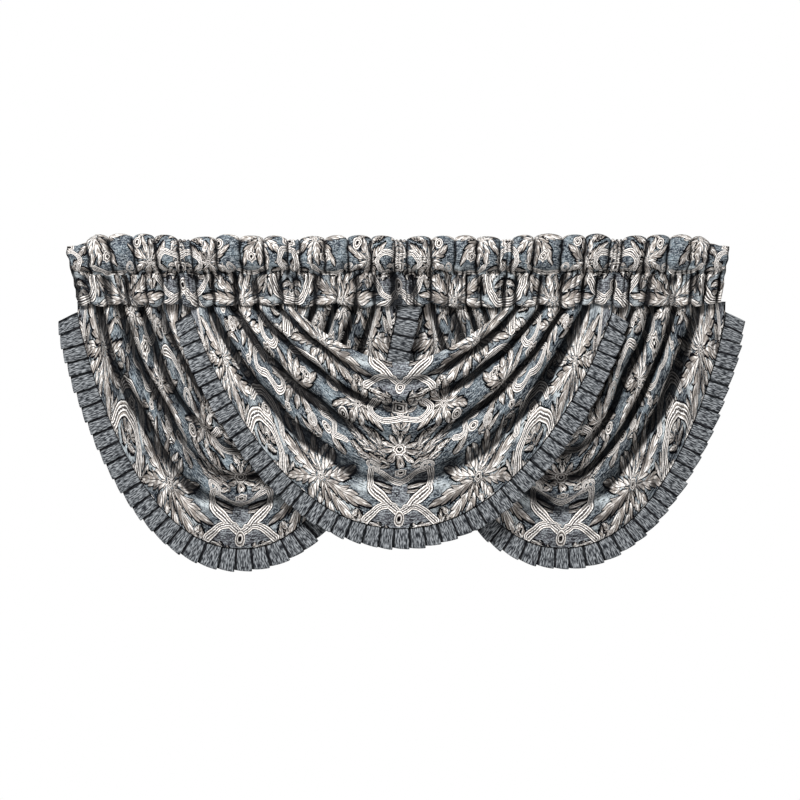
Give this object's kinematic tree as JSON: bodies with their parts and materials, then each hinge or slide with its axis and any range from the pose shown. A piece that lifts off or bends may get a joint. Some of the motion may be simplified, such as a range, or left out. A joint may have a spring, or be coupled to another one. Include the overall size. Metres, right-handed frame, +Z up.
{
  "type": "waterfall valance",
  "caption": "Gathered rod-pocket valance with overlapping draped swags, each with a pleated ruffle along its curved hem.",
  "frame": {"origin": "middle of the header's top edge, above the axis of the rod that would carry it", "axes": "+X along the header, to the right as a viewer sees it; +Z up; the viewer stands on the -Y side"},
  "size_m": [1.2288, 0.078, 0.6013],
  "materials": {
    "woven_jacquard": "matte woven damask, slate blue and cream",
    "grey_chenille": "matte ribbed chenille"
  },
  "bodies": {
    "root": {"header": "woven_jacquard", "swag_left": "woven_jacquard", "swag_right": "woven_jacquard", "swag_middle": "woven_jacquard", "ruffle_left": "grey_chenille", "ruffle_right": "grey_chenille", "ruffle_middle": "grey_chenille"}
  },
  "joints": []
}
